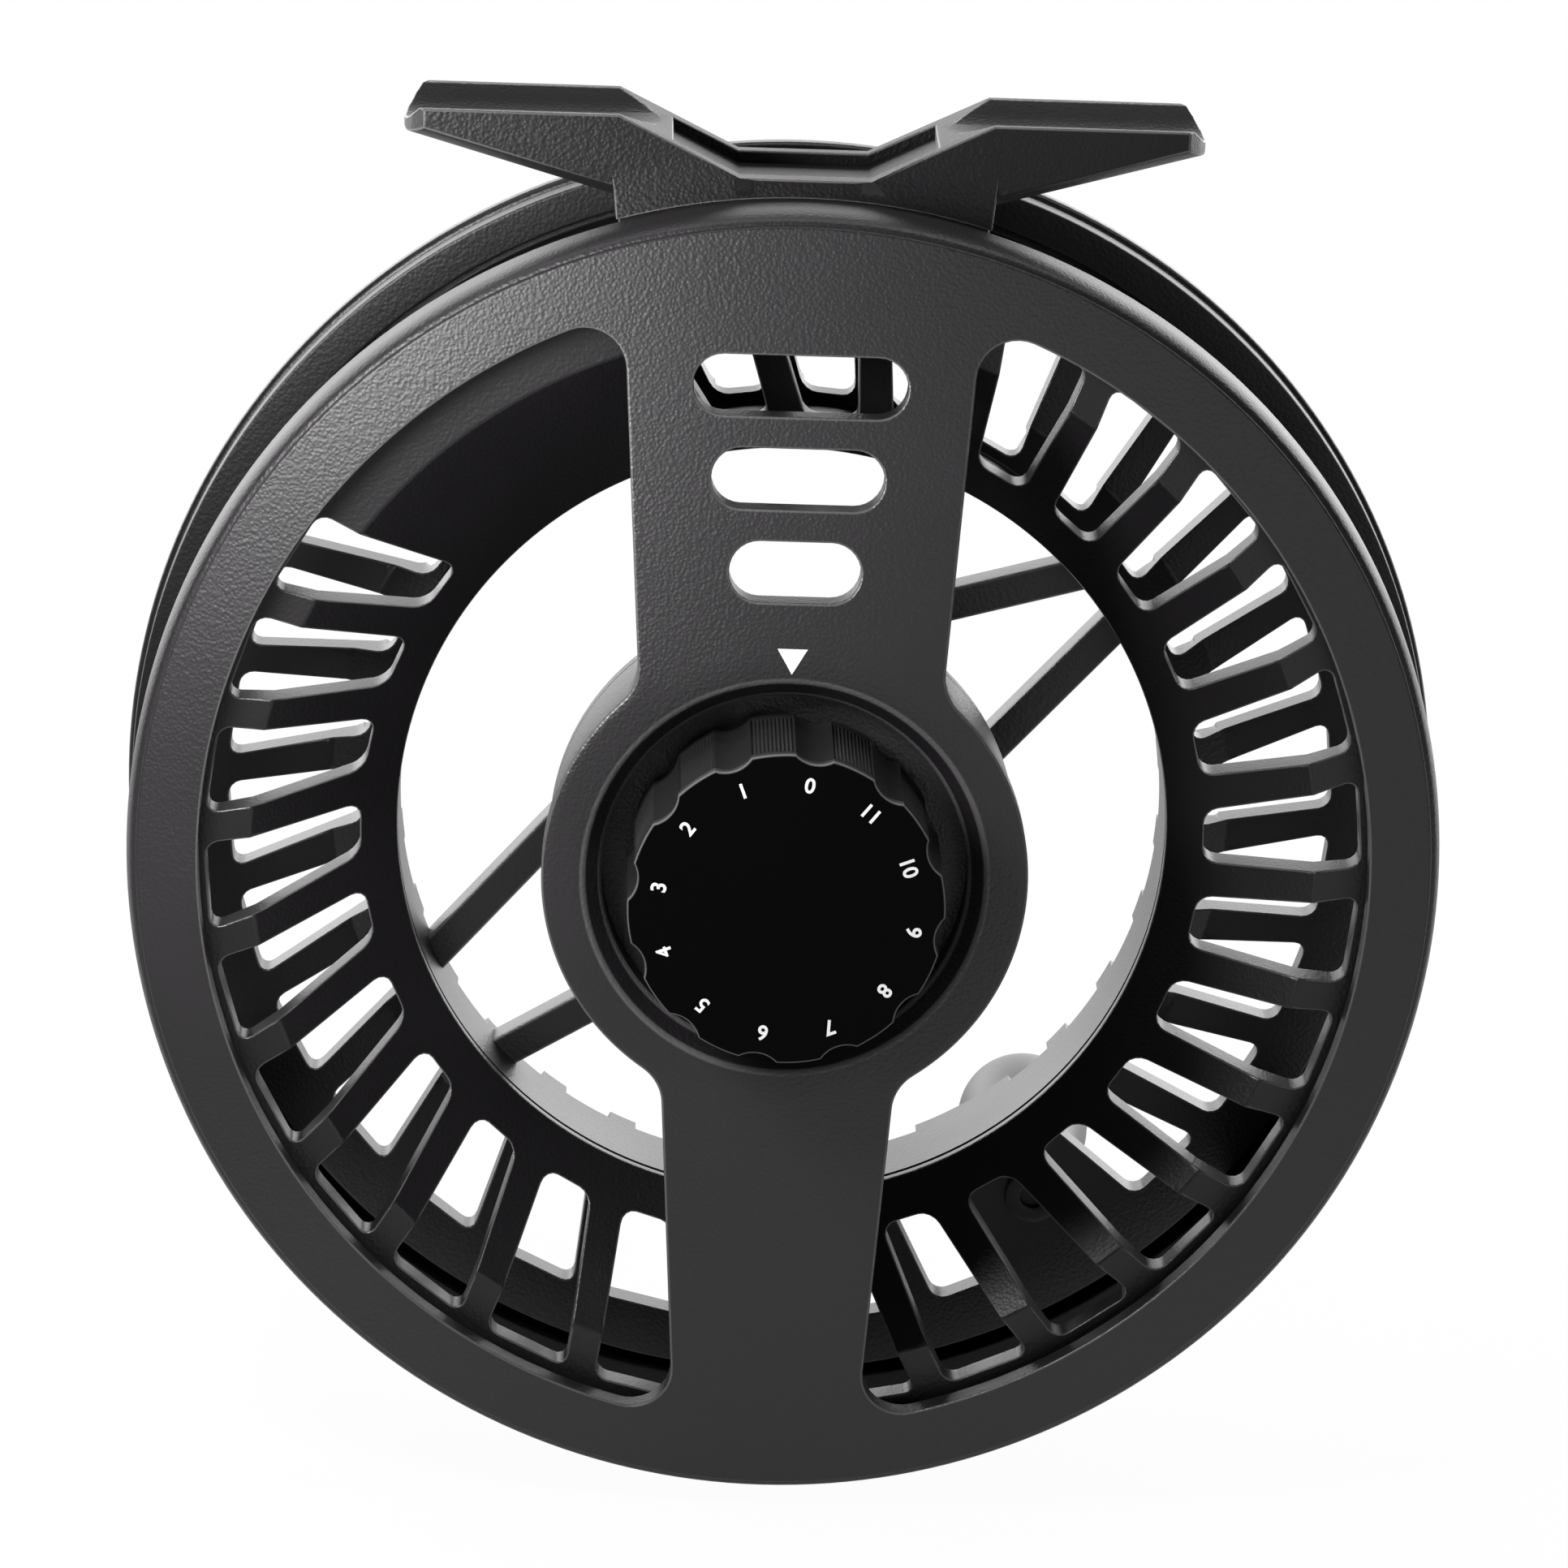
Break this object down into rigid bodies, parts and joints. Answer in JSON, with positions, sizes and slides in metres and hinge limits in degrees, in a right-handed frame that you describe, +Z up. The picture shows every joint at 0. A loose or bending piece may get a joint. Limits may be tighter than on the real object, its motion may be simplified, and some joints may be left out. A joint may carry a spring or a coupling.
{
  "type": "fly reel",
  "caption": "Large-arbor fly reel: full cage frame with a foot, slotted spool with a handle, and a disc drag set by a numbered knob.",
  "frame": {"origin": "middle of the foot, level with the flat lands along the top of its wings", "axes": "+X along the foot, +Y along the spool axis from the drag side to the handle side, +Z up towards the rod"},
  "size_m": [0.0988, 0.059, 0.1033],
  "materials": {
    "black_coat": "fine textured satin black coat",
    "spool_coat": "satin black coat",
    "dial_black": "gloss black with white numbers",
    "steel": "turned stainless steel",
    "dark_steel": "blackened steel",
    "bronze": "bearing bronze",
    "carbon": "woven carbon disc",
    "seal_rubber": "black rubber seal",
    "washer_plastic": "white plastic washer",
    "handle_black": "smooth black plastic"
  },
  "bodies": {
    "frame": {"frame": "black_coat", "reel_foot": "black_coat", "foot_screws": "dark_steel", "spindle": "steel", "knob_screw": "steel", "front_drag_disc": "carbon", "rear_drag_disc": "carbon", "drag_springs": "steel", "housing_cover": "black_coat", "cover_screws": "dark_steel", "rotor_seal": "seal_rubber", "detent_ball": "steel", "detent_spring": "steel", "bearing_ring_inner": "steel"},
    "drag_knob": {"drag_knob": "black_coat", "dial_plate": "dial_black"},
    "drag_nut": {"drag_nut": "bronze", "pressure_plate": "steel"},
    "spool": {"spool": "spool_coat", "one_way_clutch": "steel", "bearing_ring_outer": "steel", "bearing_balls": "steel", "bearing_clip": "dark_steel", "handle_pin": "steel", "handle_washer": "washer_plastic", "handle_screw": "dark_steel"},
    "drag_rotor": {"drag_rotor": "steel", "rotor_bush": "bronze"},
    "handle": {"handle_knob": "handle_black"},
    "cap_lift": {"cap_washer": "steel"},
    "cap": {"spool_cap": "black_coat", "cap_seal": "seal_rubber"}
  },
  "joints": [
    {"name": "spool_spin", "type": "hinge", "parent": "frame", "child": "spool", "pos_m": [0, -0.015, -0.0539], "axis": [0, 1, 0], "continuous": true},
    {"name": "clutch_overrun", "type": "hinge", "parent": "spool", "child": "drag_rotor", "pos_m": [0, -0.003, -0.0539], "axis": [0, 1, 0], "continuous": true},
    {"name": "handle_spin", "type": "hinge", "parent": "spool", "child": "handle", "pos_m": [0.02031, 0.021, -0.08471], "axis": [0, 1, 0], "continuous": true},
    {"name": "drag_turn", "type": "hinge", "parent": "frame", "child": "drag_knob", "pos_m": [0, -0.021, -0.0539], "axis": [0, 1, 0], "range_deg": [-8.6, 321.4]},
    {"name": "drag_press", "type": "slide", "parent": "frame", "child": "drag_nut", "axis": [0, 1, 0], "range_m": [-0.000013, 0.00045], "deforming": ["drag_springs"]},
    {"name": "cap_rise", "type": "slide", "parent": "frame", "child": "cap_lift", "axis": [0, 1, 0], "range_m": [0, 0.0025]},
    {"name": "cap_turn", "type": "hinge", "parent": "cap_lift", "child": "cap", "pos_m": [0, 0.011, -0.0539], "axis": [0, 1, 0], "range_deg": [0, 1800]}
  ],
  "couplings": [
    {"joint": "drag_press", "follows": "drag_turn", "m_per_rad": 0.000079577},
    {"joint": "cap_rise", "follows": "cap_turn", "m_per_rad": 0.000079577}
  ]
}
